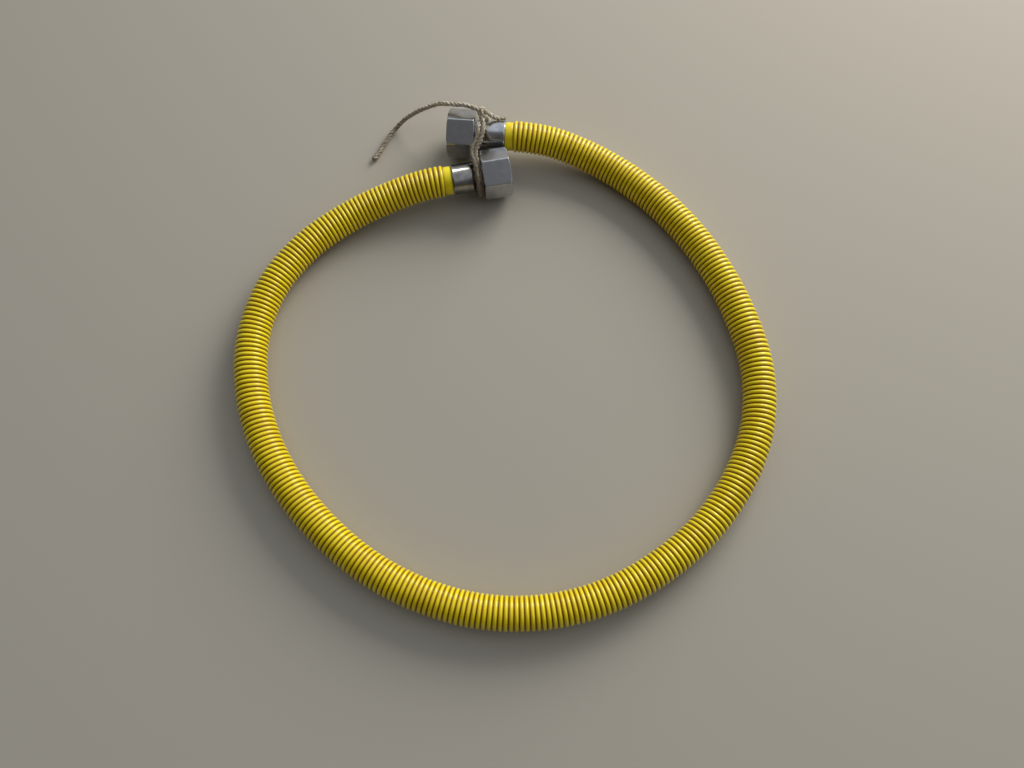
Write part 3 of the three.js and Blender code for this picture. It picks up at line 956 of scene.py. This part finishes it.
# Painted shade: the turns between the nuts and the free end are darkened.
twine_shade_tint = node(jute, "ValToRGB", {0: twine_shade}, stops=[(0.0, 0xFFFFFF), (1.0, 0x968F86)]).outputs[0]
tone = streak
for layer in (crease_shade, twine_shade_tint):
    tone = node(
        jute,
        "Mix",
        {"Factor": 1.0, 6: tone, 7: layer},
        data_type="RGBA",
        blend_type="MULTIPLY",
    ).outputs[2]
bump = node(jute, "Bump", {"Height": fibres.outputs["Fac"], "Strength": 0.7, "Distance": 0.12 * MM})
connect(jute, shader, Base_Color=tone, Normal=bump.outputs[0])

# %% [markdown]
# ## Plies of the twine
#
# Three plies wind round each other, each about half the twine's thickness. A plain tube with a twisted pattern
# would show a smooth edge, so each ply is a tube of its own. Frames that never twist are carried along the line
# first, and each ply's centre circles the line in those frames, once every 9 mm. Each ply is then swept like the
# jacket, a little thicker and thinner as it goes, as spun fibre is. The pieces share one long line, so the plies
# run on unbroken from the tail into the knot and the turns.
# %% Carry frames along the twine
FRAME_STEP = 0.45 * MM
HEADING_REACH = 0.6 * MM  # to each side, over which the heading is measured

twine_frames = []
frame_count = int(twine_line.length / FRAME_STEP)
sideways = UP.copy()
for step in range(frame_count + 1):
    distance = twine_line.length * step / frame_count
    heading = twine_line.direction(distance, HEADING_REACH)
    sideways = (sideways - heading * sideways.dot(heading)).normalized()
    twine_frames.append((distance, twine_line.place(distance), sideways.copy(), heading.cross(sideways)))
print(len(twine_frames), "frames")

# %% Thickness and painted shade
KNOT_SQUEEZE = 0.85  # how thick the twine is in the knot, where it is pulled tight
KNOT_LENGTH = 22 * MM  # of twine from the end of the turns to where the short end leaves the knot
KNOT_FADE = 2.5 * MM
TIP_SWELLING = 0.25  # how much thicker the frayed tip of the free end is
TIP_LENGTH = 2 * MM
SHORT_TIP = 0.55  # how thick the twine is at the very end of the short end
SHORT_TIP_LENGTH = 4 * MM
# Painted shade on the turns and on the free end:
TURNS_SHADE_START = 154 * MM  # the painted shade begins past the middle of the upper neck
TURNS_SHADE_FADE = 7 * MM
TAIL_SHADE_LENGTH = 62 * MM  # how far up its free end the twine is painted with shade
TAIL_SHADE_FADE = 30 * MM
TAIL_SHADE = 0.6


def thickness(distance):
    """Share of the full thickness: less in the knot, a swollen tip on the tail and a thin short end."""
    share = 1.0
    for low, high in ((tail_end, turns_start), (turns_end, turns_end + KNOT_LENGTH)):
        inside = min(distance - low, high - distance) / KNOT_FADE
        share = min(share, 1 - (1 - KNOT_SQUEEZE) * min(1.0, max(0.0, inside)))
    swollen = 1 + TIP_SWELLING * math.exp(-((distance - TIP_LENGTH) / TIP_LENGTH) ** 2)
    thinning = min(1.0, SHORT_TIP + (1 - SHORT_TIP) * (twine_line.length - distance) / SHORT_TIP_LENGTH)
    return share * swollen * thinning


def painted_shade_at(distance, place):
    """How much painted shade the twine has there: on the turns between the nuts and on the free end."""
    if turns_start <= distance <= turns_end:
        return min(1.0, max(0.0, (TURNS_SHADE_START - place.y) / TURNS_SHADE_FADE))
    return TAIL_SHADE * min(1.0, max(0.0, (TAIL_SHADE_LENGTH - distance) / TAIL_SHADE_FADE))


shares = [thickness(distance) for distance, *_ in twine_frames]
print(f"the twine is {min(shares):.2f} to {max(shares):.2f} of its full thickness")

# %% Way of one ply
PLY_COUNT = 3
PLY_TURN = 9 * MM
PLY_RADIUS = 0.88 * MM
STRAY, STRAY_WAVE = 0.25, 13 * MM  # radians that a ply runs ahead or behind, and over what length
SWELL, SWELL_WAVE = 0.07, 1.7 * MM  # share by which it is thicker or thinner
NUBS, NUBS_WAVE = 0.05, 0.9 * MM


def ply_way(number, start, end):
    """For each frame between two distances: the ply's centre and radius, the twine's middle and the painted
    shade.
    """
    wander = random.Random(900 + number)
    phases = [wander.uniform(0, 2 * math.pi) for _ in range(3)]
    way = []
    for distance, place, side, other in twine_frames:
        if not start <= distance <= end:
            continue
        share = thickness(distance)
        angle = 2 * math.pi * (distance / PLY_TURN + number / PLY_COUNT)
        angle += STRAY * math.sin(distance / STRAY_WAVE + phases[0])
        ripple = 1 + SWELL * math.sin(distance / SWELL_WAVE + phases[1])
        ripple += NUBS * math.sin(distance / NUBS_WAVE + phases[2])
        out = (math.cos(angle) * side + math.sin(angle) * other) * (TWINE_RADIUS * MM - PLY_RADIUS) * share
        way.append((place + out, PLY_RADIUS * share * ripple, place, painted_shade_at(distance, place)))
    return way


print(f"a ply turns once round the twine every {PLY_TURN / MM:.0f} mm")

# %% Mesh of one ply
PLY_SIDES = 12
FIBRE_SLANT = 2.2 * MM  # length of ply in which its fibres slant round it by one radian
DEEPEST = 0.35  # share of the twine's radius up to which the shade between the plies is full
SHADE_FADE = 0.6


def ply(name, number, start, end):
    """Mesh of one ply between two distances, with its straightened coordinates."""
    centres, radii, middles, painted_shade_values = zip(*ply_way(number, start, end))
    line = Line(centres)
    mesh = sweep(name, line, list(zip(line.distances, radii)), PLY_SIDES)
    rings = np.repeat(np.arange(len(centres)), PLY_SIDES)
    points = np.zeros(len(mesh.vertices) * 3)
    mesh.vertices.foreach_get("co", points)
    points = points.reshape(-1, 3)
    reach = np.linalg.norm(points - np.array(middles)[rings], axis=1) / (TWINE_RADIUS * MM)
    around_ply = np.tile(np.arange(PLY_SIDES) / PLY_SIDES * 2 * np.pi, len(centres))
    along_ply = np.array(line.distances)[rings] + start
    slanted = around_ply + along_ply / FIBRE_SLANT
    straight_points = np.stack(
        [along_ply + number, np.cos(slanted) * PLY_RADIUS, np.sin(slanted) * PLY_RADIUS], axis=1
    )
    attribute = mesh.attributes.new("along_ply", "FLOAT_VECTOR", "POINT")
    attribute.data.foreach_set("vector", straight_points.astype(np.float32).ravel())
    add_values(mesh, "ply_depth", np.clip((reach - DEEPEST) / SHADE_FADE, 0, 1))
    # painted shade on the turns and the free end
    add_values(mesh, "painted_twine_shade", np.array(painted_shade_values)[rings])
    return mesh


print(f"{PLY_COUNT} plies with {PLY_SIDES} sides")


# %% Pieces of the twine
def twine_piece(name, start, end, *nodes):
    """The plies between two distances as one closed piece that replaces CAD nodes."""
    whole = bmesh.new()
    for number in range(PLY_COUNT):
        mesh = ply(name, number, start, end)
        whole.from_mesh(mesh)
        bpy.data.meshes.remove(mesh)
    rims = [edge for edge in whole.edges if edge.is_boundary]
    bmesh.ops.holes_fill(whole, edges=rims, sides=0)
    bmesh.ops.recalc_face_normals(whole, faces=whole.faces)
    made = add_piece(name, mesh_of(name, whole), jute, "root")
    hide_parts(*nodes)
    return made


twine_tail = twine_piece("tail_of_twine", 0, tail_end, "twine_tail")
twine_turns = twine_piece("turns_of_twine", turns_start, turns_end, "twine_wrap")
twine_crossing = twine_piece("knot_start", tail_end, turns_start, "twine_knot")
twine_short = twine_piece("knot_and_short_end", turns_end, twine_line.length, "twine_short_end")

# %% [markdown]
# ## Loose fibres
#
# Jute is hairy. Short fibres stand off the twine everywhere, and both cut ends spread into a small brush.
# Blender's own hair isn't a mesh, so they are thin curves of a few points each, turned to one mesh. A fibre that
# would touch a nut as it turns is left out.
# %% Where a fibre may lie
HAIR_RADIUS = 0.045 * MM
NUT_SWEEP = 16.6 * MM
FIBRE_REACH = 57 * MM  # from the nearest of three places on the tail


def clear(place):
    """True if no nut touches that place as it turns, and it isn't under the floor or far from the tail."""
    for matrix in fittings.values():
        local = matrix.inverted() @ place
        beside = -0.5 * MM < local.x < NUT_LENGTH + 0.4 * MM
        if beside and math.hypot(local.y, local.z) < NUT_SWEEP:
            return False
    from_tail = min((place - twine_line.place(distance)).length for distance in (0, tail_end / 2, tail_end))
    return place.z > HAIR_RADIUS and from_tail < FIBRE_REACH


free_share = sum(clear(place) for _, place, *_ in twine_frames) / len(twine_frames)
print(f"fibres may start along {free_share:.0%} of the twine")

# %% Fibres along the twine
HAIR_COUNT = 1500
HAIR_CURL = 0.45  # how far a fibre bows, as a share of its length
ROOT_DEPTH = 0.85  # share of the twine's radius at which a fibre starts


def hair(draw, place, direction, length, curl):
    """Points of one loose fibre."""
    bow = Vector([draw.uniform(-1, 1) for _ in range(3)]) * curl
    shares = [step / 4 for step in range(5)]
    return [place + direction * length * share + bow * length * share * share for share in shares]


draw = random.Random(58)
fibres = []
while len(fibres) < HAIR_COUNT:
    distance, place, side, other = draw.choice(twine_frames)
    angle = draw.uniform(0, 2 * math.pi)
    out = math.cos(angle) * side + math.sin(angle) * other
    heading = side.cross(other) * draw.choice((-1, 1))
    direction = (out * draw.uniform(0.25, 1) + heading * draw.uniform(0.4, 1)).normalized()
    start = place + out * TWINE_RADIUS * MM * ROOT_DEPTH * thickness(distance)
    points = hair(draw, start, direction, draw.uniform(0.8, 3.4) * MM, HAIR_CURL)
    if all(clear(point) for point in points):
        fibres.append(points)
print(len(fibres), "fibres along the twine")

# %% Brushes at the cut ends
BRUSHES = [(0, 150, 1.8 * MM), (-1, 90, 3 * MM)]  # end of the twine, fibres there and how long they are
BRUSH_CURL = 0.2
BRUSH_SPREAD = 0.35

for end, brush_count, reach in BRUSHES:
    distance, place, side, other = twine_frames[end]
    outwards = side.cross(other) * (-1 if end == 0 else 1)
    for _ in range(brush_count):
        angle = draw.uniform(0, 2 * math.pi)
        off = (math.cos(angle) * side + math.sin(angle) * other) * draw.uniform(0, 0.8) * MM
        direction = (outwards + off / MM * BRUSH_SPREAD).normalized()
        points = hair(draw, place + off - outwards * MM, direction, draw.uniform(0.4, 1) * reach, BRUSH_CURL)
        if all(clear(point) for point in points):
            fibres.append(points)
print(len(fibres), "fibres in all")

# %% All fibres as one mesh
TAPER = 0.6  # how much thinner a fibre is at its tip

curve = bpy.data.curves.new("loose_fibres", "CURVE")
curve.dimensions = "3D"
curve.bevel_depth = HAIR_RADIUS
curve.bevel_resolution = 0
curve.use_fill_caps = True
for points in fibres:
    spline = curve.splines.new("POLY")
    spline.points.add(len(points) - 1)
    for index, (point, place) in enumerate(zip(spline.points, points)):
        point.co = (*place, 1)
        point.radius = 1 - TAPER * index / (len(points) - 1)
fibre_mesh = curve_to_mesh(curve)
add_values(fibre_mesh, "ply_depth", [1.0] * len(fibre_mesh.vertices))
loose_fibres = add_piece("loose_fibres", fibre_mesh, jute, "root")

# %% [markdown]
# ## The tail
#
# The free end of the twine runs from its tip to the knot; its place at the knot and its length are found here.
tuple(twine_line.place(tail_end))
print(f"tail declared: {tail_end / MM:.1f} mm")

# %% [markdown]
# ## Floor and light
#
# The floor is a plain pale warm grey. The light is soft daylight from the far right, as from a large window.
# The rest of the room is bright from the far side to just past overhead and dim behind the viewer, with a fairly
# sharp edge between the two. So the hose's near side is in shade, and the metal mirrors a light band above a
# dark one.
# %% Floor
FLOOR_DROP = 0.05 * MM  # a hair's breadth, so that the floor and the hose don't share a surface

floor_paint, shader = start_material("pale_floor", Roughness=0.8, Specular_IOR_Level=0.1)
shader.inputs["Base Color"].default_value = colour(0xAFA89B)
floor_shape = bmesh.new()
bmesh.ops.create_grid(floor_shape, x_segments=1, y_segments=1, size=4)
bmesh.ops.translate(floor_shape, verts=floor_shape.verts, vec=(0, 0, -FLOOR_DROP))
floor_mesh = mesh_of("floor", floor_shape)
floor_mesh.materials.append(floor_paint)
floor = add_object("floor", floor_mesh)
print("floor at", floor_mesh.vertices[0].co.z)

# %% Light
window_data = bpy.data.lights.new("window", "AREA")
window_data.shape = "RECTANGLE"
window_data.size, window_data.size_y = 0.9, 0.8
window_data.energy = 23
window_data.color = colour(0xFFFDF8)[:3]
window = add_object("window", window_data)
window.location = (0.82, 1.08, 0.64)
window.rotation_euler = (-window.location).to_track_quat("-Z", "Y").to_euler()
print(f"the window is {window.location.length:.2f} m away")

# %% Room
TOWARDS_WINDOW = (0.45, 0.85, 0.28)

room = bpy.data.worlds.new("room")
room.use_nodes = True
background = room.node_tree.nodes["Background"]
direction = node(room, "TexCoord").outputs["Generated"]
facing = node(room, "VectorMath", {0: direction, 1: TOWARDS_WINDOW}, operation="DOT_PRODUCT")
share = node(room, "MapRange", {"Value": facing.outputs["Value"], "From Min": -1.0})
walls = node(
    room,
    "ValToRGB",
    {0: share.outputs[0]},
    stops=[(0.0, 0x2E2B27), (0.36, 0x6A6867), (0.46, 0x7E7F82), (0.57, 0xD2D9E2), (1.0, 0xE6ECF4)],
).outputs[0]
room.node_tree.links.new(walls, background.inputs["Color"])
background.inputs["Strength"].default_value = 0.75
bpy.context.scene.world = room
bpy.context.scene.view_settings.view_transform = "Standard"
print("the room's light has", len(room.node_tree.nodes), "nodes")
